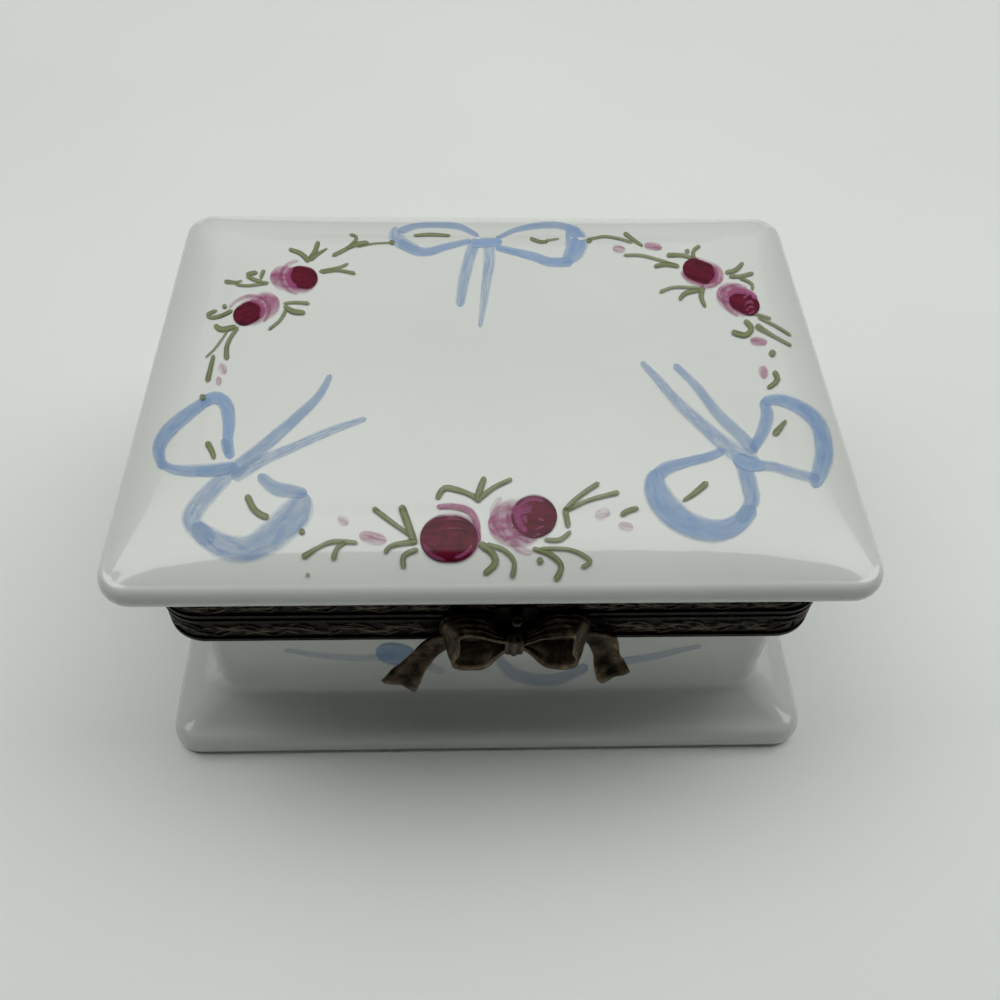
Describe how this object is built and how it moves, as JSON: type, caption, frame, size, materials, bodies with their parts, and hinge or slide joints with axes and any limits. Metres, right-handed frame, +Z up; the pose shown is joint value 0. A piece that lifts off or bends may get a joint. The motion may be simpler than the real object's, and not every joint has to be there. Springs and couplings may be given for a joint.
{
  "type": "hinged porcelain keepsake box",
  "caption": "Small hinged porcelain keepsake box for a baby tooth, with a cushion lid, flared foot, brass rim mounts and a ribbon bow clasp.",
  "frame": {"origin": "middle of the foot's underside, on the surface that the box stands on", "axes": "+Z up, +X along the hinge to the right seen from the clasp, -Y towards the clasp, +Y towards the hinge"},
  "size_m": [0.057, 0.0434, 0.03],
  "materials": {
    "porcelain": "glossy white glaze with hand-painted bows and roses",
    "mount_brass": "dark antiqued brass with engraved foliage",
    "hinge_brass": "dark antiqued brass, plain",
    "pin_brass": "worn drawn brass wire",
    "bead_brass": "brass rubbed bright by use",
    "bow_brass": "antiqued brass with rubbed edges",
    "cement": "matt white cement"
  },
  "bodies": {
    "base": {"base_porcelain": "porcelain", "base_bezel": "mount_brass", "base_cement": "cement", "hinge_leaf_base": "hinge_brass", "hinge_pin": "pin_brass", "clasp_tongue": "hinge_brass", "bow_knot": "bow_brass", "bow_loop_left": "bow_brass", "bow_loop_right": "bow_brass", "bow_tail_left": "bow_brass", "bow_tail_right": "bow_brass"},
    "lid": {"lid_porcelain": "porcelain", "lid_bezel": "mount_brass", "lid_cement": "cement", "hinge_leaf_lid": "hinge_brass", "catch_bead": "bead_brass"}
  },
  "joints": [
    {"name": "lid_hinge", "type": "hinge", "parent": "base", "child": "lid", "pos_m": [0, 0.02055, 0.0193], "axis": [-1, 0, 0], "range_deg": [0, 105]}
  ]
}
